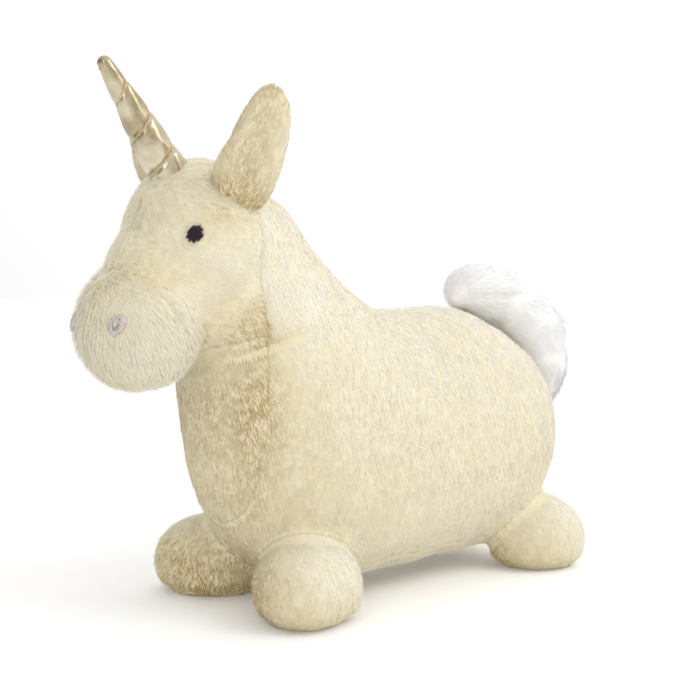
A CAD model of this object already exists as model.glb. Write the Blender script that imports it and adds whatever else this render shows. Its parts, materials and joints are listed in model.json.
"""Plush ride-on unicorn: cream combed pile, metallic spiral horn, white tail and embroidered face."""

import json
import math

import bmesh
import bpy
import numpy as np
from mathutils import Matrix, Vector
from mathutils.bvhtree import BVHTree
from mathutils.kdtree import KDTree


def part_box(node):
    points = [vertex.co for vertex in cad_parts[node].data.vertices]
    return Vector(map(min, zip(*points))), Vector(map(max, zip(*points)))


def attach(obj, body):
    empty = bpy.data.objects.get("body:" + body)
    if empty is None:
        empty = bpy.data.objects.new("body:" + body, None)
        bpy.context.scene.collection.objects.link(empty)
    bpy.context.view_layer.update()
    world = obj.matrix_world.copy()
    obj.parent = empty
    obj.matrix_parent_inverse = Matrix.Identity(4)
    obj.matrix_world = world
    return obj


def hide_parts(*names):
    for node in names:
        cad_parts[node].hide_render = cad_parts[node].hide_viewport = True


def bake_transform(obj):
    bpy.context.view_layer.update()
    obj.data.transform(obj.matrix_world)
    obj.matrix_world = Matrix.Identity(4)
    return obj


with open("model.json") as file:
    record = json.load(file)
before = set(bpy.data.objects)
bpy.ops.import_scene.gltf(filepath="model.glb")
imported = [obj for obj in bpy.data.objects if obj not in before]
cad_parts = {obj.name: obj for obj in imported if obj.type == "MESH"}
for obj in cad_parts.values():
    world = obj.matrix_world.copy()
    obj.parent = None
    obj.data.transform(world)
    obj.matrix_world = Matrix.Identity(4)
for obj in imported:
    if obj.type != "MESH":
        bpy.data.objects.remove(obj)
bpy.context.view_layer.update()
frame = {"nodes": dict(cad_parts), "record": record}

MM = 0.001


# ---------------------------------------------------------------- places worked out from the frame
def low(node):
    return np.array(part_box(node)[0])


def high(node):
    return np.array(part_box(node)[1])


def middle(*nodes):
    lows = np.min([low(n) for n in nodes], axis=0)
    highs = np.max([high(n) for n in nodes], axis=0)
    return (lows + highs) / 2


JOINTS = {joint["name"]: joint for joint in frame["record"]["behaviour"]["joints"]}
SEAM_Y = float(high("head_cover_left")[1])  # side seam between head and trunk panels
CREASE_Z = float(low("head_cover_left")[2])  # seam between head and chest panels
EYE = middle("eye_left")
NOSTRIL = middle("nostril_left")
MUZZLE = middle("muzzle_cover")
HORN_ROOT = np.array(JOINTS["horn_flex"]["pos_m"])
EAR_ROOT = np.array(JOINTS["ear_left_flex"]["pos_m"])
TAIL_ROOT = np.array(JOINTS["tail_lift"]["pos_m"])


# ---------------------------------------------------------------- camera, floor and light
def look_at(obj, target):
    direction = Vector(target) - obj.location
    obj.rotation_euler = direction.to_track_quat("-Z", "Y").to_euler()


def make_camera():
    azimuth, distance, height = math.radians(48.7), 1.300, 0.345
    target = Vector((0, -0.0052, 0.235))
    data = bpy.data.cameras.new("camera")
    data.lens = 67.5
    data.sensor_width = 36.0
    camera = bpy.data.objects.new("camera", data)
    bpy.context.scene.collection.objects.link(camera)
    ahead = Vector((math.sin(azimuth), -math.cos(azimuth), 0)) * distance
    camera.location = target + ahead + Vector((0, 0, height - target.z))
    look_at(camera, target)
    bpy.context.scene.camera = camera


def area_light(name, place, target, size, energy, colour=(1, 1, 1)):
    data = bpy.data.lights.new(name, "AREA")
    data.shape = "DISK"
    data.size = size
    data.energy = energy
    data.color = colour
    light = bpy.data.objects.new(name, data)
    bpy.context.scene.collection.objects.link(light)
    light.location = place
    look_at(light, target)


def make_lights():
    """A white studio: bright above and behind, dimmer towards the front and below."""
    world = bpy.data.worlds.new("studio")
    world.use_nodes = True
    tree = world.node_tree
    background = tree.nodes["Background"]
    background.inputs["Color"].default_value = (1.0, 1.0, 1.0, 1)
    place = tree.nodes.new("ShaderNodeTexCoord")
    facing = tree.nodes.new("ShaderNodeVectorMath")
    facing.operation = "DOT_PRODUCT"
    facing.inputs[1].default_value = (0.15, 0.80, 0.58)
    spread = tree.nodes.new("ShaderNodeMapRange")
    spread.inputs["From Min"].default_value = -0.55
    spread.inputs["From Max"].default_value = 0.45
    spread.inputs["To Min"].default_value = 0.42
    spread.inputs["To Max"].default_value = 1.15
    tree.links.new(place.outputs["Generated"], facing.inputs[0])
    tree.links.new(facing.outputs["Value"], spread.inputs["Value"])
    tree.links.new(spread.outputs["Result"], background.inputs["Strength"])
    bpy.context.scene.world = world
    bpy.context.scene.view_settings.view_transform = "Standard"
    area_light("key", (1.3, 0.75, 1.5), (0, 0, 0.2), 1.0, 9, (1.0, 0.99, 0.97))
    area_light("front", (1.2, -1.9, 1.0), (0, -0.1, 0.25), 1.5, 8.5, (1.0, 0.99, 0.97))


def make_floor():
    mesh = bpy.data.meshes.new("floor")
    half = 6.0
    corners = [(-half, -half, 0), (half, -half, 0), (half, half, 0), (-half, half, 0)]
    mesh.from_pydata(corners, [], [(0, 1, 2, 3)])
    floor = bpy.data.objects.new("floor", mesh)
    bpy.context.scene.collection.objects.link(floor)
    material = bpy.data.materials.new("floor_paper")
    material.use_nodes = True
    shader = material.node_tree.nodes["Principled BSDF"]
    shader.inputs["Base Color"].default_value = (0.93, 0.93, 0.93, 1)
    shader.inputs["Roughness"].default_value = 0.9
    shader.inputs["Specular IOR Level"].default_value = 0.1
    shader.inputs["Emission Color"].default_value = (1, 1, 1, 1)
    shader.inputs["Emission Strength"].default_value = 0.08
    mesh.materials.append(material)


# ---------------------------------------------------------------- materials
def new_material(name, roughness, sheen=0.0, metallic=0.0, specular=0.5):
    material = bpy.data.materials.new(name)
    material.use_nodes = True
    shader = material.node_tree.nodes["Principled BSDF"]
    shader.inputs["Roughness"].default_value = roughness
    shader.inputs["Metallic"].default_value = metallic
    shader.inputs["Specular IOR Level"].default_value = specular
    shader.inputs["Sheen Weight"].default_value = sheen
    return material, material.node_tree, shader


def set_colour(shader, colour):
    shader.inputs["Base Color"].default_value = (*colour, 1)


def noise_colour(tree, shader, scale, dark, light, detail=3.0, low_stop=0.35, high_stop=0.65):
    """Object-space noise that mixes two colours."""
    place = tree.nodes.new("ShaderNodeTexCoord")
    noise = tree.nodes.new("ShaderNodeTexNoise")
    noise.inputs["Scale"].default_value = scale
    noise.inputs["Detail"].default_value = detail
    ramp = tree.nodes.new("ShaderNodeValToRGB")
    ramp.color_ramp.elements[0].position = low_stop
    ramp.color_ramp.elements[0].color = (*dark, 1)
    ramp.color_ramp.elements[1].position = high_stop
    ramp.color_ramp.elements[1].color = (*light, 1)
    tree.links.new(place.outputs["Object"], noise.inputs["Vector"])
    tree.links.new(noise.outputs["Fac"], ramp.inputs["Fac"])
    tree.links.new(ramp.outputs["Color"], shader.inputs["Base Color"])
    return place, noise


def bump(tree, shader, source, socket, strength, distance):
    node = tree.nodes.new("ShaderNodeBump")
    node.inputs["Strength"].default_value = strength
    node.inputs["Distance"].default_value = distance
    tree.links.new(source.outputs[socket], node.inputs["Height"])
    tree.links.new(node.outputs["Normal"], shader.inputs["Normal"])


def plush_backing(name, dark, light):
    """The dense base of the pile, seen between strands."""
    material, tree, shader = new_material(name, 0.95, sheen=0.25, specular=0.1)
    place, _ = noise_colour(tree, shader, 60, dark, light)
    fine = tree.nodes.new("ShaderNodeTexNoise")
    fine.inputs["Scale"].default_value = 900
    tree.links.new(place.outputs["Object"], fine.inputs["Vector"])
    bump(tree, shader, fine, "Fac", 0.5, 0.0015)
    return material


def strand_material(name, colour):
    material, _, shader = new_material(name, 0.85, sheen=0.18, specular=0.05)
    set_colour(shader, colour)
    return material


def woven(name, dark, light, scale=1400, roughness=0.8):
    """Woven tape or cloth: crossed waves under a little colour noise."""
    material, tree, shader = new_material(name, roughness, sheen=0.2, specular=0.3)
    place, _ = noise_colour(tree, shader, 300, dark, light)
    wave = tree.nodes.new("ShaderNodeTexWave")
    wave.inputs["Scale"].default_value = scale / 6
    wave.inputs["Distortion"].default_value = 1.0
    tree.links.new(place.outputs["Object"], wave.inputs["Vector"])
    bump(tree, shader, wave, "Fac", 0.4, 0.0004)
    return material


def moulded(name, dark, light, roughness=0.45, metallic=0.0):
    """Plastic or metal with faint mottling and fine surface grain."""
    material, tree, shader = new_material(name, roughness, metallic=metallic)
    _, noise = noise_colour(tree, shader, 220, dark, light)
    bump(tree, shader, noise, "Fac", 0.15, 0.0003)
    return material


def foil_cloth():
    """Champagne-gold foil bonded to cloth: metallic, finely creased and a little mottled."""
    material, tree, shader = new_material("horn_foil", 0.27, metallic=1.0)
    place, _ = noise_colour(tree, shader, 45, (0.38, 0.315, 0.195), (0.66, 0.59, 0.45), detail=3)
    crease = tree.nodes.new("ShaderNodeTexNoise")
    crease.inputs["Scale"].default_value = 60
    crease.inputs["Detail"].default_value = 2
    crease.inputs["Distortion"].default_value = 0.6
    tree.links.new(place.outputs["Object"], crease.inputs["Vector"])
    bump(tree, shader, crease, "Fac", 0.4, 0.0022)
    return material


# ---------------------------------------------------------------- mesh helpers
def add_object(name, mesh, body):
    """A new piece that rides on a body; without one, the caller blends it across a joint."""
    obj = bpy.data.objects.new(name, mesh)
    bpy.context.scene.collection.objects.link(obj)
    if body:
        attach(obj, body)
    return obj


def mesh_arrays(mesh):
    """Vertex places and triangles of a mesh."""
    places = np.empty(len(mesh.vertices) * 3)
    mesh.vertices.foreach_get("co", places)
    mesh.calc_loop_triangles()
    triangles = np.empty(len(mesh.loop_triangles) * 3, dtype=np.int64)
    mesh.loop_triangles.foreach_get("vertices", triangles)
    return places.reshape(-1, 3), triangles.reshape(-1, 3)


def make_mesh(name, places, faces):
    mesh = bpy.data.meshes.new(name)
    mesh.from_pydata(np.asarray(places).tolist(), [], [tuple(face) for face in faces])
    mesh.validate()
    mesh.shade_smooth()
    return mesh


def triangle_mesh(name, places, triangles, materials, material_index, normals):
    """A mesh of many triangles, built in bulk, with a shading normal for each vertex."""
    mesh = bpy.data.meshes.new(name)
    mesh.vertices.add(len(places))
    mesh.vertices.foreach_set("co", places.astype(np.float32).ravel())
    mesh.loops.add(len(triangles) * 3)
    mesh.loops.foreach_set("vertex_index", triangles.astype(np.int32).ravel())
    mesh.polygons.add(len(triangles))
    mesh.polygons.foreach_set("loop_start", np.arange(0, len(triangles) * 3, 3, dtype=np.int32))
    for material in materials:
        mesh.materials.append(material)
    mesh.polygons.foreach_set("material_index", material_index.astype(np.int32))
    mesh.update(calc_edges=True)
    mesh.shade_smooth()
    mesh.normals_split_custom_set_from_vertices(normals.astype(np.float32))
    return mesh


def unit(vectors):
    return vectors / np.maximum(np.linalg.norm(vectors, axis=-1, keepdims=True), 1e-12)


def waves(points, scale, seed, count=7):
    """A smooth random field from -1 to 1 with features of about the given size in metres."""
    rng = np.random.default_rng(seed)
    total = np.zeros(len(points))
    for _ in range(count):
        direction = unit(rng.normal(size=3))
        rate = 2 * math.pi / scale * rng.uniform(0.6, 1.5)
        total += np.sin(points @ direction * rate + rng.uniform(0, 2 * math.pi))
    return total / math.sqrt(count) / 1.4


def vertex_normals(places, triangles):
    corner = places[triangles]
    face = np.cross(corner[:, 1] - corner[:, 0], corner[:, 2] - corner[:, 0])
    normals = np.zeros_like(places)
    for index in range(3):
        np.add.at(normals, triangles[:, index], face)
    return unit(normals)


# ---------------------------------------------------------------- the plush skin
COVER_NODES = [
    "head_cover_left",
    "head_cover_right",
    "chest_cover",
    "side_cover_left",
    "side_cover_right",
    "belly_cover_left",
    "belly_cover_right",
    "front_foot_cover_left",
    "front_foot_cover_right",
    "hind_foot_cover_left",
    "hind_foot_cover_right",
    "front_sole_left",
    "front_sole_right",
    "hind_sole_left",
    "hind_sole_right",
    "muzzle_cover",
]
INNER_NODES = [
    "bladder",
    "muzzle_stuffing",
    "valve_boss",
    "valve_plug",
    "zipper_tape_left",
    "zipper_tape_right",
]
VOXEL = 3.2 * MM


def remeshed(name, nodes, voxel):
    """One closed mesh of the nodes' outer surface."""
    places, triangles, start = [], [], 0
    for node in nodes:
        node_places, node_triangles = mesh_arrays(frame["nodes"][node].data)
        places.append(node_places)
        triangles.append(node_triangles + start)
        start += len(node_places)
    mesh = make_mesh(name, np.vstack(places), np.vstack(triangles))
    obj = bpy.data.objects.new(name, mesh)
    bpy.context.scene.collection.objects.link(obj)
    modifier = obj.modifiers.new("remesh", "REMESH")
    modifier.mode = "VOXEL"
    modifier.voxel_size = voxel
    graph = bpy.context.evaluated_depsgraph_get()
    solid = bpy.data.meshes.new_from_object(obj.evaluated_get(graph))
    bpy.data.objects.remove(obj)
    return largest_shell(solid)


def largest_shell(mesh):
    """Keeps the connected surface with the widest box, which drops the cavity inside."""
    work = bmesh.new()
    work.from_mesh(mesh)
    work.verts.ensure_lookup_table()
    seen = np.zeros(len(work.verts), dtype=bool)
    best, best_size = [], -1.0
    for vertex in work.verts:
        if seen[vertex.index]:
            continue
        group, queue = [], [vertex]
        seen[vertex.index] = True
        while queue:
            current = queue.pop()
            group.append(current)
            for edge in current.link_edges:
                other = edge.other_vert(current)
                if not seen[other.index]:
                    seen[other.index] = True
                    queue.append(other)
        places = np.array([v.co for v in group])
        size = float(np.prod(places.max(0) - places.min(0)))
        if size > best_size:
            best, best_size = group, size
    keep = {v.index for v in best}
    bmesh.ops.delete(work, geom=[v for v in work.verts if v.index not in keep], context="VERTS")
    work.to_mesh(mesh)
    work.free()
    return mesh


def smoothed(mesh, steps, places=None, factor=0.5):
    """Laplacian smoothing in bulk."""
    if places is None:
        places, _ = mesh_arrays(mesh)
    edges = np.empty(len(mesh.edges) * 2, dtype=np.int64)
    mesh.edges.foreach_get("vertices", edges)
    ends = edges.reshape(-1, 2)
    near_end = np.concatenate([ends[:, 0], ends[:, 1]])
    far_end = np.concatenate([ends[:, 1], ends[:, 0]])
    degree = np.maximum(np.bincount(near_end, minlength=len(places)), 1)
    for _ in range(steps):
        columns = places[far_end].T
        total = [np.bincount(near_end, weights=column, minlength=len(places)) for column in columns]
        places = places + factor * (np.stack(total, 1) / degree[:, None] - places)
    return places


FOLD_RISE = 0.40  # the fold under the cheek climbs towards the back
SKIN_THICKNESS = 2.6 * MM
DEEPEST = 3.6 * MM  # the backing never sinks into the bladder
SEAM_DEPTH = {"muzzle": 0.1 * MM, "foot": 2.6 * MM, "panel": 1.0 * MM, "centre": 0.3 * MM}
SEAM_WIDTH = {"muzzle": 5 * MM, "foot": 6 * MM, "panel": 4 * MM, "centre": 4 * MM}
FILL_WIDTH = {"muzzle": 34 * MM, "foot": 15 * MM}


def seam_kind(first, second):
    """Which sort of seam joins two panels."""
    names = {first.rsplit("_", 1)[0], second.rsplit("_", 1)[0]}
    if "muzzle" in names:
        return "muzzle"
    if len(names) == 1:
        return "centre"
    if "foot" in first + second:
        return "foot"
    return "panel"


def face_labels(places, triangles):
    """The cover node nearest to each triangle; the crease beside the neck climbs like the fold."""
    all_places, all_triangles, owner, start = [], [], [], 0
    for index, node in enumerate(COVER_NODES):
        node_places, node_triangles = mesh_arrays(frame["nodes"][node].data)
        all_places.append(node_places)
        all_triangles.append(node_triangles + start)
        owner += [index] * len(node_triangles)
        start += len(node_places)
    tree = BVHTree.FromPolygons(np.vstack(all_places).tolist(), np.vstack(all_triangles).tolist())
    centres = places[triangles].mean(1)
    behind = np.clip(centres[:, 1] - SEAM_Y + 0.03, -0.02, 0.06)
    centres[:, 2] -= FOLD_RISE * behind * np.exp(-(((centres[:, 2] - CREASE_Z) / 0.05) ** 2))
    return np.array([owner[tree.find_nearest(Vector(c))[2]] for c in centres])


def seam_distances(places, triangles, labels):
    """Distance from each vertex to the nearest seam of each kind."""
    vertex_label = np.full(len(places), -1)
    members = {kind: set() for kind in SEAM_DEPTH}
    for corner in range(3):
        current = vertex_label[triangles[:, corner]]
        clash = (current >= 0) & (current != labels)
        for vertex, one, other in zip(triangles[clash, corner], current[clash], labels[clash]):
            members[seam_kind(COVER_NODES[one], COVER_NODES[other])].add(int(vertex))
        vertex_label[triangles[:, corner]] = labels
    distances = {}
    for kind, vertices in members.items():
        tree = KDTree(len(vertices))
        for index, vertex in enumerate(sorted(vertices)):
            tree.insert(places[vertex], index)
        tree.balance()
        distances[kind] = np.array([tree.find(p)[2] for p in places])
    return distances


def gaussian(points, centre, sizes):
    return np.exp(-(((points - np.array(centre)) / np.array(sizes)) ** 2).sum(1))


def fold_frame(points, height):
    """Distances from the middle of the cheek fold: out, along and above it."""
    centre = np.array([0.074, SEAM_Y + 0.004, CREASE_Z + height])
    offset = points - centre
    offset[:, 2] -= FOLD_RISE * offset[:, 1]
    return offset


def along_fold(points, height, sizes):
    """A smooth weight of 1 on a line at this height above the fold, which fades over the sizes."""
    return np.exp(-((fold_frame(points, height) / np.array(sizes)) ** 2).sum(1))


def shape_skin(mesh, places, triangles, labels):
    """Stuffing bridges the hollows, thread pulls the seams in and the cheek folds over the neck."""
    distances = seam_distances(places, triangles, labels)
    normals = vertex_normals(places, triangles)
    relaxed = smoothed(mesh, 150, places)
    rise = ((relaxed - places) * normals).sum(1)
    bridge = np.zeros(len(places))
    for kind, width in FILL_WIDTH.items():
        bridge = np.maximum(bridge, np.exp(-((distances[kind] / width) ** 2)))
    outward = np.clip(rise / (1.5 * MM), 0, 1) * bridge
    places = places + (relaxed - places) * outward[:, None]
    places = smoothed(mesh, 10, places)
    normals = vertex_normals(places, triangles)
    depth = np.zeros(len(places))
    for kind, distance in distances.items():
        depth = np.maximum(depth, SEAM_DEPTH[kind] * np.exp(-((distance / SEAM_WIDTH[kind]) ** 2)))
    for points in (places, places * np.array([-1, 1, 1])):
        fold = along_fold(points, 0.003, (0.05, 0.024, 0.0055))
        bulge = along_fold(points, 0.020, (0.05, 0.028, 0.012))
        lower = along_fold(points, -0.014, (0.05, 0.028, 0.010))
        smile = gaussian(points, MUZZLE + np.array([0.046, -0.010, -0.022]), (0.02, 0.034, 0.0045))
        depth += 0.0036 * fold - 0.0034 * bulge - 0.0016 * lower + 0.0016 * smile
    uneven = 0.0011 * waves(places, 0.075, 3) + 0.0005 * waves(places, 0.028, 4)
    depth = np.minimum(depth, DEEPEST)
    places = places - normals * (depth - uneven)[:, None]
    places[:, 2] = np.maximum(places[:, 2], 0.0004)
    return places, depth


def panel_object(node, places, faces, material, body):
    """One panel of the skin as its own closed, thin piece."""
    used, inverse = np.unique(faces, return_inverse=True)
    mesh = make_mesh(node.replace("_cover", "_plush"), places[used], inverse.reshape(faces.shape))
    mesh.materials.append(material)
    obj = add_object(node.replace("_cover", "") + "_plush", mesh, body)
    solid = obj.modifiers.new("thickness", "SOLIDIFY")
    solid.thickness = SKIN_THICKNESS
    solid.offset = -1
    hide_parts(node)
    return obj


# ---------------------------------------------------------------- pile
def sample_surface(places, triangles, normals, density, rng):
    """Random points on a mesh, with their normals and triangles."""
    corner = places[triangles]
    area = 0.5 * np.linalg.norm(np.cross(corner[:, 1] - corner[:, 0], corner[:, 2] - corner[:, 0]), axis=1)
    running = np.cumsum(area)
    count = int(running[-1] * density)
    pick = np.searchsorted(running, rng.random(count) * running[-1])
    pick = np.minimum(pick, len(triangles) - 1)
    first, second = rng.random(count), rng.random(count)
    flip = first + second > 1
    first[flip], second[flip] = 1 - first[flip], 1 - second[flip]
    weight = np.stack([1 - first - second, first, second], 1)[:, :, None]
    points = (places[triangles[pick]] * weight).sum(1)
    normal = unit((normals[triangles[pick]] * weight).sum(1))
    return points, normal, pick, weight


def tangent(direction, normal):
    along = direction - normal * (direction * normal).sum(1, keepdims=True)
    return unit(along)


def clump_targets(points, spacing, rng):
    """For each root, the place of the tuft that it leans towards."""
    keep = rng.permutation(len(points))[: max(8, int(len(points) / spacing))]
    tree = KDTree(len(keep))
    for index, which in enumerate(keep):
        tree.insert(points[which], index)
    tree.balance()
    nearest = np.array([tree.find(p)[1] for p in points])
    return points[keep][nearest]


def strand_places(points, normal, comb, length, lift, rng, clump, segments, gather):
    """Centre lines of strands: they leave along the normal and bend over to follow the comb."""
    count = len(points)
    lines = np.empty((count, segments + 1, 3))
    lines[:, 0] = points - normal * 0.0010
    step = (length / segments)[:, None]
    for index in range(segments):
        bend = (index + 0.6) / segments
        rise = lift * (1 - 0.75 * bend)
        direction = unit(comb * (1 - rise)[:, None] + normal * rise[:, None])
        lines[:, index + 1] = lines[:, index] + direction * step
    tip_shift = (clump - points) * rng.uniform(0.3 * gather, gather, (count, 1))
    for index in range(1, segments + 1):
        lines[:, index] += tip_shift * (index / segments) ** 1.5
    return lines


def ribbons(lines, normal, width, taper, rng):
    """Flat tapering blades along centre lines: vertices, triangles and soft shading normals."""
    count, points_per_line = lines.shape[:2]
    along = unit(lines[:, -1] - lines[:, 0])
    side = unit(np.cross(along, normal))
    twist = rng.normal(0, 0.15, (count, 1))
    side = unit(side * np.cos(twist) + normal * np.sin(twist))
    rings = points_per_line - 1
    verts = np.empty((count, 2 * rings + 1, 3))
    for index in range(rings):
        half = (width * (1 - taper * index / rings) / 2)[:, None]
        verts[:, 2 * index] = lines[:, index] - side * half
        verts[:, 2 * index + 1] = lines[:, index] + side * half
    verts[:, -1] = lines[:, -1]
    pattern = []
    for index in range(rings - 1):
        a, b, c, d = 2 * index, 2 * index + 1, 2 * index + 2, 2 * index + 3
        pattern += [(a, b, d), (a, d, c)]
    pattern.append((2 * rings - 2, 2 * rings - 1, 2 * rings))
    pattern = np.array(pattern)
    base = (np.arange(count) * (2 * rings + 1))[:, None, None]
    triangles = (base + pattern[None]).reshape(-1, 3)
    blade_normal = unit(np.cross(side, along))
    blade_normal *= np.sign((blade_normal * normal).sum(1, keepdims=True) + 1e-9)
    shade = unit(0.94 * normal + 0.10 * blade_normal + rng.normal(0, 0.03, (count, 3)))
    shading = np.repeat(shade, 2 * rings + 1, axis=0)
    return verts.reshape(-1, 3), triangles, shading, len(pattern)


TINT_ENDS = {
    "cream": ((0.50, 0.345, 0.115), (0.775, 0.695, 0.48), (0.915, 0.91, 0.865)),
    "white": ((0.82, 0.75, 0.725), (0.93, 0.915, 0.905), (0.965, 0.963, 0.96)),
}
TINT_STEPS = 9
USUAL_LIFT = 0.34  # 0 lies flat and 1 stands on end


def tints(kind):
    """Evenly spaced colours from the darkest through the middle one to the palest."""
    at = np.linspace(0, 1, TINT_STEPS)
    return [tuple(np.interp(t, (0, 0.5, 1), channel) for channel in zip(*TINT_ENDS[kind])) for t in at]


def fur(name, body, points, normal, comb, length, shade, rng, kind="cream", width=None, lift=USUAL_LIFT,
        tuft=30, gather=0.14, segments=2, taper=0.55):
    """A piece of pile. shade runs from 0, the darkest tint, to 1, the palest."""
    count = len(points)
    clump = clump_targets(points, tuft, rng)
    lengths = length * rng.uniform(0.82, 1.12, count)
    lifts = np.clip(lift * rng.uniform(0.8, 1.2, count), 0.05, 0.95)
    lines = strand_places(points, normal, comb, lengths, lifts, rng, clump, segments, gather)
    lines[:, :, 2] = np.maximum(lines[:, :, 2], 0.0005)
    widths = (width or STRAND_WIDTH) * rng.uniform(0.7, 1.3, count)
    places, triangles, shading, per_strand = ribbons(lines, normal, widths, taper, rng)
    last = TINT_STEPS - 1
    tone = np.clip(shade * last + rng.normal(0, 0.30, count), 0, last).round().astype(int)
    material_index = np.repeat(tone, per_strand)
    mesh = triangle_mesh(name, places, triangles, STRANDS[kind], material_index, shading)
    return add_object(name, mesh, body)


STRANDS = {
    kind: [strand_material(f"{kind}_strand_{index}", tint) for index, tint in enumerate(tints(kind))]
    for kind in TINT_ENDS
}
BACKING = plush_backing("cream_backing", (0.755, 0.675, 0.47), (0.80, 0.73, 0.535))
WHITE_BACKING = plush_backing("white_backing", (0.82, 0.78, 0.75), (0.93, 0.915, 0.90))
FILLING = plush_backing("polyester_filling", (0.80, 0.80, 0.78), (0.92, 0.92, 0.90))


def comb_body(points, node):
    """Nap direction: down the flanks, back over the cheeks and off the nose on the muzzle."""
    x = points[:, 0]
    if "head" in node or "muzzle" in node:
        comb = unit(np.stack([4.0 * x, np.full(len(x), 0.75), np.full(len(x), -0.55)], 1))
        nose = unit(points - (MUZZLE + np.array([0, -0.030, 0.040]))) + np.array([0, 0.10, -0.55])
        beyond = np.linalg.norm(points - MUZZLE, axis=1) - 0.055
        share = np.exp(-((np.clip(beyond, 0, 1) / 0.020) ** 2))[:, None]
        return comb * (1 - share) + nose * share
    comb = np.stack([2.5 * x, np.full(len(x), 0.22), np.full(len(x), -1.0)], 1)
    comb[:, 1] += 0.22 * waves(points, 0.12, 21)
    comb[:, 0] += 0.15 * waves(points, 0.10, 22)
    return comb


def near(points, centre, radius):
    return np.linalg.norm(points - centre, axis=1) < radius


def bald(points):
    """True where no pile grows: under embroidery, the horn's foot, the zipper and the valve."""
    mirrored_points = points * np.array([-1, 1, 1])
    gone = near(points, HORN_ROOT, 17 * MM)
    for places in (points, mirrored_points):
        gone |= near(places, EYE, 6.2 * MM) | near(places, NOSTRIL, 6.0 * MM)
    tape_low, tape_high = low("zipper_tape_left"), high("zipper_tape_left")
    half = tape_high[0]
    under = points[:, 2] < tape_high[2] + 0.004
    gone |= under & (abs(points[:, 0]) < half) & (points[:, 1] > tape_low[1]) & (points[:, 1] < tape_high[1])
    gone |= under & near(points, middle("valve_eyelet"), 17 * MM)
    return gone


# Patches of tan pile, as strength, centre and spread. The side patches lie on both sides.
SIDE_PATCHES = {
    "cheek": (0.58, (0.078, SEAM_Y - 0.014, CREASE_Z + 0.022), (0.06, 0.032, 0.026)),
    "neck": (0.50, (0.082, SEAM_Y - 0.006, CREASE_Z - 0.045), (0.06, 0.026, 0.050)),
    "chest edge": (0.26, (0.085, SEAM_Y - 0.002, CREASE_Z - 0.120), (0.05, 0.014, 0.050)),
}
EAR_PATCH = (0.34, (0.056, EAR_ROOT[1] - 0.020, EAR_ROOT[2] - 0.014), (0.03, 0.022, 0.018))
MIDDLE_PATCHES = {
    "nose": (0.50, (0.014, MUZZLE[1] - 0.002, MUZZLE[2] + 0.050), (0.034, 0.022, 0.012)),
    "horn's foot": (0.26, HORN_ROOT + np.array([0, -0.026, -0.026]), (0.03, 0.014, 0.014)),
    "brow": (0.18, HORN_ROOT + np.array([0, -0.036, -0.058]), (0.05, 0.020, 0.012)),
}


def patches(points, chosen):
    """How strongly the points lie in any of the patches."""
    return sum(strength * gaussian(points, centre, sizes) for strength, centre, sizes in chosen)


def body_shade(points, normal, depth):
    """How pale the pile is: tan in seams, folds and partings, cream on the rounds, palest on the back."""
    y, z = points[:, 1], points[:, 2]
    behind = y > SEAM_Y
    shade = 0.68 + 0.03 * waves(points, 0.085, 31) + 0.01 * waves(points, 0.035, 32)
    upper_side = 0.30 * np.clip(normal[:, 2] + 0.1, 0, 1)
    head = 0.07 * np.clip(1 + (z - CREASE_Z) / 0.06, 0, 1)
    shade += np.where(behind, upper_side, head)
    neck = behind * np.exp(-(((y - SEAM_Y) / 0.06) ** 2))
    shade += 0.22 * neck * np.clip((z - CREASE_Z) / 0.04, 0, 1)
    shade -= 0.24 * np.clip(-normal[:, 1], 0, 1) * np.clip((CREASE_Z - z) / 0.04, 0, 1)
    shade -= 55 * np.clip(depth, 0, 0.004)
    in_front = np.where(behind, 0.55 * np.exp(-(((y - SEAM_Y) / 0.016) ** 2)), 1.0)
    for side in (1, -1):
        local = points * np.array([side, 1, 1])
        shade -= in_front * patches(local, SIDE_PATCHES.values())
        shade -= 0.22 * along_fold(local, 0.003, (0.05, 0.028, 0.006))
        shade -= patches(local, [EAR_PATCH])
    shade -= patches(points, MIDDLE_PATCHES.values())
    inward = np.clip(0.35 - normal[:, 0] * np.sign(points[:, 0]), 0, 1)
    shade -= 0.45 * inward * np.clip((0.095 - z) / 0.03, 0, 1)
    shade -= 0.12 * (z < 0.020)
    return np.clip(shade, 0, 1)


DENSITY = 0.42 * 1e6  # strands in a square metre
STRAND_WIDTH = 0.55 * MM * 1.0
TAIL_STRAND_WIDTH = 0.6 * MM * 1.0
PILE_LENGTH = 8.5 * MM
PILE_LIFT = {"muzzle_cover": 0.52}  # how far strands stand up, where it isn't the usual amount
MUZZLE_EXTRA = 2.5 * MM
FEWEST_STRANDS = 20  # a panel with less is hidden, and has no pile


def make_body():
    mesh = remeshed("skin", COVER_NODES + INNER_NODES, VOXEL)
    places = smoothed(mesh, 16)
    _, triangles = mesh_arrays(mesh)
    labels = face_labels(places, triangles)
    places, depth = shape_skin(mesh, places, triangles, labels)
    normals = vertex_normals(places, triangles)
    rng = np.random.default_rng(7)
    for index, node in enumerate(COVER_NODES):
        faces = triangles[labels == index]
        panel = panel_object(node, places, faces, BACKING, "trunk")
        points, normal, pick, weight = sample_surface(places, faces, normals, DENSITY, rng)
        sunk = (depth[faces[pick]] * weight[:, :, 0]).sum(1)
        keep = ~bald(points)
        if "sole" in node:
            keep &= points[:, 2] > 0.0025
        points, normal, sunk = points[keep], normal[keep], sunk[keep]
        if len(points) < FEWEST_STRANDS:
            continue
        comb = tangent(comb_body(points, node), normal)
        comb = tangent(comb + rng.normal(0, 0.09, comb.shape), normal)
        length = PILE_LENGTH + 0.7 * MM * waves(points, 0.03, 41)
        length += MUZZLE_EXTRA if node == "muzzle_cover" else 0
        length *= 1 - 60 * np.clip(sunk, 0, 0.004)
        shade = body_shade(points, normal, sunk)
        lift = PILE_LIFT.get(node, USUAL_LIFT)
        fur(f"{panel.name}_pile", "trunk", points, normal, comb, length, shade, rng, lift=lift)


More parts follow.
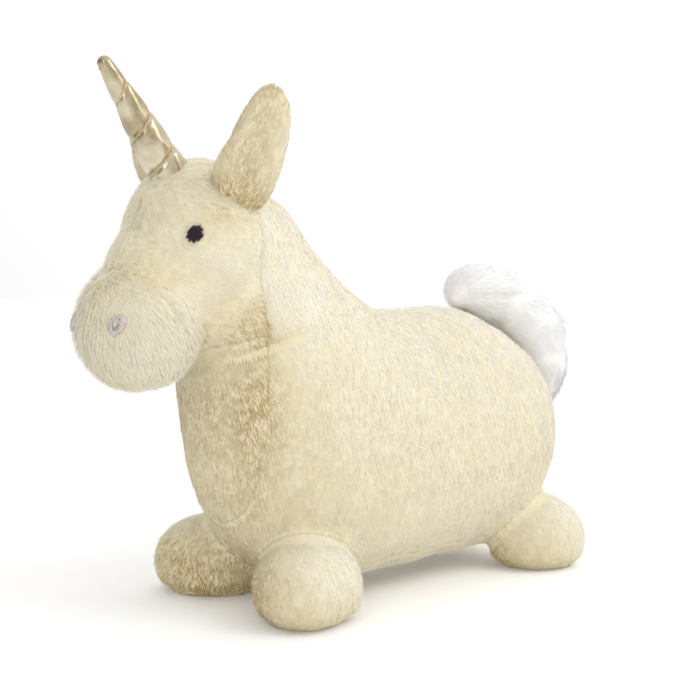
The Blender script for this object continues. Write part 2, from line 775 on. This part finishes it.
# ---------------------------------------------------------------- ears
def ear_frame(side):
    """Root, and unit vectors across the ear, out of its back and up its length."""
    joint = JOINTS["ear_left_flex"]
    across = unit(np.array(joint["axis"], dtype=float))
    node = "ear_core_left"
    tip = middle(node) + (high(node) - middle(node)) * np.array([0.55, 0, 1.0])
    up = unit(tip - EAR_ROOT)
    up = unit(up - across * (up @ across))
    flip = np.array([side, 1, 1])
    return EAR_ROOT * flip, across * flip, np.cross(up, across) * flip, up * flip


def shape_ear(places, root, across, back, up):
    """Widen the foot, narrow the inner edge near the tip, and let the foot sink into the head."""
    height, reach = (places - root) @ up, (places - root) @ across
    flare = 0.24 * np.clip(1 - height / (45 * MM), 0, 1) - 0.06 * np.clip(height / (60 * MM) - 0.8, 0, 1)
    narrow = np.clip(height / (30 * MM) - 0.6, 0, 1) * np.clip((116 * MM - height) / (40 * MM), 0, 1)
    flare += np.where(reach < 0, -0.20 * narrow, 0.08 * np.clip(height / (25 * MM) - 2.6, 0, 1))
    lean = 5 * MM * np.clip(height / (90 * MM), 0, 1)
    foot = np.clip(1 - height / (34 * MM), 0, 1) ** 1.5
    shift = across * (flare * reach + lean)[:, None] - up * (12 * MM * foot)[:, None]
    return places + shift + back * (9 * MM * foot)[:, None]


def make_ear(name, side):
    root, across, back, up = ear_frame(side)
    nodes = [f"ear_{part}_{name}" for part in ("back", "lining", "core")]
    body = f"ear_{name}"
    make_ear_core(name, nodes[2], side)
    mesh = remeshed(body, nodes, 1.9 * MM)
    _, triangles = mesh_arrays(mesh)
    places = shape_ear(smoothed(mesh, 10), root, across, back, up)
    normals = vertex_normals(places, triangles)
    front = (normals @ back)[triangles].mean(1) < -0.25
    rng = np.random.default_rng(11 if side > 0 else 12)
    for part, chosen, node in (("lining", front, nodes[1]), ("back", ~front, nodes[0])):
        faces = triangles[chosen]
        used, inverse = np.unique(faces, return_inverse=True)
        skin = make_mesh(f"ear_{part}_{name}_plush", places[used], inverse.reshape(faces.shape))
        skin.materials.append(BACKING)
        obj = bpy.data.objects.new(skin.name, skin)
        bpy.context.scene.collection.objects.link(obj)
        solid = obj.modifiers.new("thickness", "SOLIDIFY")
        solid.thickness = 1.5 * MM
        solid.offset = -1
        finish_ear_piece(obj)
        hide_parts(node)
        points, normal, _, _ = sample_surface(places, faces, normals, 1.25 * DENSITY, rng)
        comb = tangent(up + 0.5 * across * ((points - root) @ across / (30 * MM))[:, None], normal)
        comb = tangent(comb + rng.normal(0, 0.10, comb.shape), normal)
        level = (points - root) @ up / (100 * MM)
        shade = 0.66 + 0.08 * waves(points, 0.03, 51)
        if part == "lining":
            rim = abs((points - root) @ across) / (27 * MM)
            shade = 0.38 + 0.30 * rim**2 + 0.08 * waves(points, 0.02, 52) + 0.35 * np.clip(level - 0.8, 0, 1)
        shade -= 0.30 * np.clip(0.20 - level, 0, 1) / 0.2
        shade = np.clip(shade, 0, 1)
        pile = fur(f"ear_{part}_{name}_pile", None, points, normal, comb, PILE_LENGTH, shade, rng)
        finish_ear_piece(pile)


def make_ear_core(name, node, side):
    """The ear's wadding, shaped like its covers and a little smaller."""
    root, across, back, up = ear_frame(side)
    mesh = remeshed(f"ear_wadding_{name}", [node], 2.0 * MM)
    _, triangles = mesh_arrays(mesh)
    places = shape_ear(smoothed(mesh, 4), root, across, back, up)
    places = places - vertex_normals(places, triangles) * 0.8 * MM
    wadding = make_mesh(f"ear_wadding_{name}", places, triangles)
    wadding.materials.append(FILLING)
    obj = bpy.data.objects.new(wadding.name, wadding)
    bpy.context.scene.collection.objects.link(obj)
    finish_ear_piece(obj)
    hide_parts(node)


def finish_ear_piece(obj):
    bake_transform(obj)


# ---------------------------------------------------------------- horn
HORN_LEAN = math.radians(35)
HORN_AXIS = unit(np.array([0.0, -math.sin(HORN_LEAN), math.cos(HORN_LEAN)]))
HORN_LENGTH = 124 * MM
HORN_BASE, HORN_TIP = 18.5 * MM, 5.5 * MM
SEAM_PITCH = 34 * MM
SEAM_LOW, SEAM_HIGH = 8 * MM, 116 * MM
SEAM_START = math.radians(182)


def horn_space(angle, radius, height):
    """Points of the horn's own frame, in the row frame."""
    side = np.array([1.0, 0, 0])
    back = np.cross(HORN_AXIS, side)
    ring = np.cos(angle)[..., None] * side + np.sin(angle)[..., None] * back
    return HORN_ROOT + ring * radius[..., None] + HORN_AXIS * height[..., None]


def horn_radius(angle, height):
    """The stuffed horn: puffed between the turns of its spiral seam, with long soft creases."""
    cone = HORN_BASE - (HORN_BASE - HORN_TIP) * np.clip(height / HORN_LENGTH, 0, 1) ** 1.3
    turn = (angle - SEAM_START) / (2 * math.pi)
    phase = ((height - SEAM_LOW) / SEAM_PITCH - turn) % 1.0
    edge = np.minimum(phase, 1 - phase)
    pinch = 1.7 * MM * np.exp(-((edge / 0.075) ** 2)) - 0.9 * MM * np.sin(math.pi * phase) ** 0.7
    fade = np.clip((HORN_LENGTH - height) / (14 * MM), 0, 1)
    crease = 0.9 * MM * np.abs(np.sin(2 * angle + 45 * height + 1.3)) ** 0.5
    crease += 0.30 * MM * np.sin(7 * angle - 190 * height)
    dome = np.sqrt(np.clip(1 - np.clip((height - HORN_LENGTH + HORN_TIP) / HORN_TIP, 0, 1) ** 2, 0, 1))
    scale = np.clip(cone / HORN_BASE, 0.45, 1)
    return (cone - fade * scale * (pinch + crease - 0.3 * MM)) * dome


def make_horn():
    around, along = 120, 200
    angle = np.linspace(0, 2 * math.pi, around, endpoint=False)
    height = np.linspace(-13 * MM, HORN_LENGTH - 0.02 * MM, along)
    angles, heights = np.meshgrid(angle, height)
    places = horn_space(angles, horn_radius(angles, heights), heights).reshape(-1, 3)
    faces = []
    for row in range(along - 1):
        for column in range(around):
            a, b = row * around + column, row * around + (column + 1) % around
            faces.append((a, b, b + around, a + around))
    faces.append(tuple(range(around))[::-1])
    faces.append(tuple((along - 1) * around + i for i in range(around)))
    mesh = make_mesh("horn_sleeve", places, faces)
    mesh.materials.append(foil_cloth())
    horn = add_object("horn_sleeve", mesh, "horn")
    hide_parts("horn_cover")
    make_horn_seam()


def capsule(length, radius, rings=5, sides=8):
    """A small rounded stitch along local Z, centred on the origin."""
    places = []
    for ring in range(rings + 1):
        t = -1 + 2 * ring / rings
        r = radius * math.sqrt(max(0.0, 1 - abs(t) ** 3)) + 1e-6
        for side in range(sides):
            a = 2 * math.pi * side / sides
            places.append((r * math.cos(a), r * math.sin(a), t * length / 2))
    faces = []
    for ring in range(rings):
        for side in range(sides):
            a, b = ring * sides + side, ring * sides + (side + 1) % sides
            faces.append((a, b, b + sides, a + sides))
    faces.append(tuple(range(sides))[::-1])
    faces.append(tuple(rings * sides + i for i in range(sides)))
    return np.array(places), faces


def stitches(name, centres, directions, length, radius, material, body, node):
    """Many stitches as one piece, which stands for a node."""
    base, pattern = capsule(length, radius)
    places, faces = [], []
    for centre, direction in zip(centres, directions):
        turn = np.array(Vector(direction).to_track_quat("Z", "Y").to_matrix())
        start = len(base) * len(places)
        places.append(base @ turn.T + centre)
        faces += [tuple(start + v for v in face) for face in pattern]
    mesh = make_mesh(name, np.vstack(places), faces)
    mesh.materials.append(material)
    obj = add_object(name, mesh, body)
    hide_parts(node)


def make_horn_seam():
    """Gold thread wound slantwise over the seam's groove."""
    thread, tree, shader = new_material("gold_thread", 0.45, sheen=0.3, specular=0.6)
    noise_colour(tree, shader, 900, (0.42, 0.30, 0.11), (0.76, 0.62, 0.33))
    count = 140
    height = np.linspace(SEAM_LOW + 7 * MM, SEAM_HIGH, count)
    angle = SEAM_START + 2 * math.pi * (height - SEAM_LOW) / SEAM_PITCH
    centre = horn_space(angle, horn_radius(angle, height) + 0.25 * MM, height)
    ahead = unit(np.gradient(centre, axis=0))
    slant = unit(ahead + 0.75 * HORN_AXIS)
    length, radius = 2.5 * MM, 0.62 * MM
    stitches("horn_seam_thread", centre, slant, length, radius, thread, "horn", "horn_thread")


# ---------------------------------------------------------------- embroidered face
def surface_frame(centre, toward):
    """Right, up and out vectors of a patch that faces away from a point."""
    out = unit(centre - toward)
    right = unit(np.cross(np.array([0, 0, 1.0]), out))
    return right, np.cross(out, right), out


def tube(name, line, radii, material, sides=12):
    """A closed tube round a centre line, with a radius for each point."""
    line = np.asarray(line)
    ahead = unit(np.gradient(line, axis=0))
    side = unit(np.cross(ahead, np.array([0.3, 0.5, 0.8])))
    up = np.cross(ahead, side)
    angle = np.linspace(0, 2 * math.pi, sides, endpoint=False)
    ring = np.cos(angle)[None, :, None] * side[:, None] + np.sin(angle)[None, :, None] * up[:, None]
    places = (line[:, None] + ring * np.asarray(radii)[:, None, None]).reshape(-1, 3)
    faces = []
    for row in range(len(line) - 1):
        for column in range(sides):
            a, b = row * sides + column, row * sides + (column + 1) % sides
            faces.append((a, b, b + sides, a + sides))
    faces.append(tuple(range(sides))[::-1])
    faces.append(tuple((len(line) - 1) * sides + i for i in range(sides)))
    mesh = make_mesh(name, places, faces)
    mesh.materials.append(material)
    return mesh


def joined(name, meshes, body):
    work = bmesh.new()
    for mesh in meshes:
        work.from_mesh(mesh)
    whole = bpy.data.meshes.new(name)
    work.to_mesh(whole)
    work.free()
    whole.materials.append(meshes[0].materials[0])
    whole.shade_smooth()
    return add_object(name, whole, body)


def make_eye(name, side):
    """A bundle of thick dark threads, laid side by side on a slant, with ragged ends."""
    material, tree, shader = new_material(f"eye_thread_{name}", 0.5, sheen=0.05, specular=0.35)
    noise_colour(tree, shader, 700, (0.004, 0.002, 0.004), (0.022, 0.006, 0.018))
    flip = np.array([side, 1, 1])
    centre = EYE * flip
    right, up, out = surface_frame(centre, np.array([0, EYE[1] + 0.045, EYE[2]]))
    lengths = (7.5, 12.0, 14.8, 16.6, 16.0, 14.2, 9.0)
    shifts = (0.6, -0.9, 0.7, -0.4, 0.9, -0.6, 0.5)
    slant = math.radians(48) * side
    along = math.cos(slant) * right + math.sin(slant) * up
    across = np.cross(out, along)
    threads = []
    for index, (length, shift) in enumerate(zip(lengths, shifts)):
        offset = (index - 3) * 1.75 * MM
        t = np.linspace(-1, 1, 17)
        dome = 2.6 * MM * (1 - (offset / (7.0 * MM)) ** 2)
        height = dome * np.sqrt(1 - 0.9 * t**2) + 0.8 * MM - 2.4 * MM * t**4
        slide = (t * length / 2 + shift)[:, None] * MM
        line = centre + across * offset + along * slide + out * height[:, None]
        radii = 1.05 * MM * np.sqrt(np.clip(1.02 - np.abs(t) ** 6, 0.02, 1))
        threads.append(tube(f"eye_{name}_{index}", line, radii, material))
    eye = joined(f"eye_{name}_stitches", threads, "trunk")
    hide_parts(f"eye_{name}")


def make_nostril(name, side):
    """A loop of thick grey cord, tucked back into its own middle."""
    material, tree, shader = new_material(f"nostril_thread_{name}", 0.36, sheen=0.1, specular=0.5)
    noise_colour(tree, shader, 420, (0.37, 0.335, 0.315), (0.56, 0.52, 0.50))
    flip = np.array([side, 1, 1])
    centre = NOSTRIL * flip
    right, up, out = surface_frame(centre, MUZZLE * flip)
    route = (
        (-5.4, 5.6, -1.2), (-6.4, 1.6, 2.2), (-5.0, -4.6, 2.8), (-1.6, -8.2, 2.6), (1.4, -6.2, 2.4),
        (5.0, -3.4, 3.2), (7.0, 1.6, 3.0), (5.2, 6.2, 2.6), (0.8, 6.6, 2.4), (-1.4, 3.2, 2.0),
        (0.6, 0.2, 1.2), (2.4, -0.6, -0.8),
    )
    size, sunk = 0.86 * MM, 2.8
    points = np.array([centre + (side * x * right + y * up + (z - sunk) * out) * size for x, y, z in route])
    count = 110
    line = catmull_rom(points, np.linspace(0, len(points) - 1, count))
    radii = np.interp(np.linspace(0, 1, count), (0, 0.08, 0.5, 0.9, 1), (1.3, 2.4, 2.7, 2.2, 1.2)) * MM
    loop = tube(f"nostril_{name}_loop", line, radii, material, sides=16)
    piece = add_object(f"nostril_{name}_loop", loop, "trunk")
    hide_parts(f"nostril_{name}")


def catmull_rom(points, t):
    """A smooth line through points, at parameters t."""
    padded_points = np.vstack([2 * points[0] - points[1], points, 2 * points[-1] - points[-2]])
    index = np.minimum(t.astype(int), len(points) - 2)
    u = (t - index)[:, None]
    a, b, c, d = (padded_points[index + k] for k in range(4))
    return 0.5 * (2 * b + (c - a) * u + (2 * a - 5 * b + 4 * c - d) * u**2 + (3 * b - a - 3 * c + d) * u**3)


# ---------------------------------------------------------------- tail
def make_tail():
    nodes = ("tail_pile_left", "tail_pile_right", "tail_core", "tail_cord")
    mesh = remeshed("tail_skin", nodes, 3.0 * MM)
    places = smoothed(mesh, 12)
    _, triangles = mesh_arrays(mesh)
    normals = vertex_normals(places, triangles)
    lumps = 2.5 * MM * waves(places * np.array([1.6, 1, 1]), 0.060, 61) + 0.8 * MM * waves(places, 0.030, 62)
    root_puff = 12 * MM * gaussian(places, TAIL_ROOT + np.array([0, 0.026, 0.010]), (0.05, 0.032, 0.028))
    places = places + normals * (lumps + root_puff - 1.5 * MM)[:, None]
    places[:, 2] -= 4 * MM * gaussian(places, TAIL_ROOT + np.array([0, 0.010, 0]), (0.06, 0.030, 0.05))
    fold = gaussian(places, TAIL_ROOT + np.array([0.030, 0.040, 0.002]), (0.022, 0.034, 0.0055))
    places = places - normals * (5 * MM * fold)[:, None]
    normals = vertex_normals(places, triangles)
    skin = make_mesh("tail_plush", places, triangles)
    skin.materials.append(WHITE_BACKING)
    obj = bpy.data.objects.new("tail_plush", skin)
    bpy.context.scene.collection.objects.link(obj)
    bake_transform(obj)
    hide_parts("tail_pile_left", "tail_pile_right", "tail_cord")
    rng = np.random.default_rng(17)
    points, normal, _, _ = sample_surface(places, triangles, normals, 1.1 * DENSITY, rng)
    centre = middle("tail_core")
    spin = points - np.array([0, centre[1] - 0.055, centre[2] - 0.045])
    flow = np.stack([1.4 * points[:, 0], spin[:, 2], -spin[:, 1]], 1)
    flow /= np.linalg.norm(spin[:, 1:], axis=1)[:, None]
    comb = tangent(flow + rng.normal(0, 0.06, spin.shape), normal)
    shade = 0.94 + 0.10 * waves(points * np.array([2.5, 1, 1]), 0.045, 63)
    shade -= 0.55 * gaussian(points, TAIL_ROOT + np.array([0.030, 0.040, 0.002]), (0.022, 0.030, 0.006))
    pile = fur("tail_pile", None, points, normal, comb, 15 * MM, np.clip(shade, 0, 1), rng, kind="white",
               width=TAIL_STRAND_WIDTH, lift=0.22, tuft=40, gather=0.12, segments=3)
    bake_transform(pile)


# ---------------------------------------------------------------- zipper, valve, label and what lies inside
def finish_cad_nodes():
    metal = moulded("zipper_nickel", (0.50, 0.50, 0.50), (0.78, 0.78, 0.77), roughness=0.28, metallic=0.95)
    nylon = moulded("zipper_nylon", (0.60, 0.50, 0.33), (0.74, 0.64, 0.45), roughness=0.4)
    pvc = moulded("valve_pvc_white", (0.76, 0.75, 0.71), (0.86, 0.85, 0.81), roughness=0.35)
    shell = moulded("bladder_pvc_cream", (0.66, 0.60, 0.47), (0.74, 0.68, 0.55), roughness=0.3)
    tape = woven("zipper_tape_weave", (0.62, 0.52, 0.34), (0.76, 0.67, 0.48))
    label = woven("label_weave", (0.84, 0.84, 0.82), (0.92, 0.92, 0.90), scale=2600)
    eyelet = woven("eyelet_thread", (0.55, 0.44, 0.26), (0.70, 0.59, 0.39), scale=2000)
    looks = {
        "zipper_slider": metal, "zipper_pull": metal, "zipper_teeth_left": nylon, "zipper_teeth_right": nylon,
        "zipper_stop_front": nylon, "zipper_stop_rear": nylon, "valve_boss": pvc, "valve_plug": pvc,
        "bladder": shell, "zipper_tape_left": tape, "zipper_tape_right": tape, "care_label": label,
        "valve_eyelet": eyelet, "muzzle_stuffing": FILLING, "horn_stuffing": FILLING, "tail_core": FILLING,
    }
    for node, material in looks.items():
        node_object = frame["nodes"][node]
        node_object.data.materials.clear()
        node_object.data.materials.append(material)


# ---------------------------------------------------------------- build
make_camera()
make_lights()
make_floor()
make_body()
for side_name, side_sign in (("left", 1), ("right", -1)):
    make_ear(side_name, side_sign)
    make_eye(side_name, side_sign)
    make_nostril(side_name, side_sign)
make_horn()
make_tail()
finish_cad_nodes()
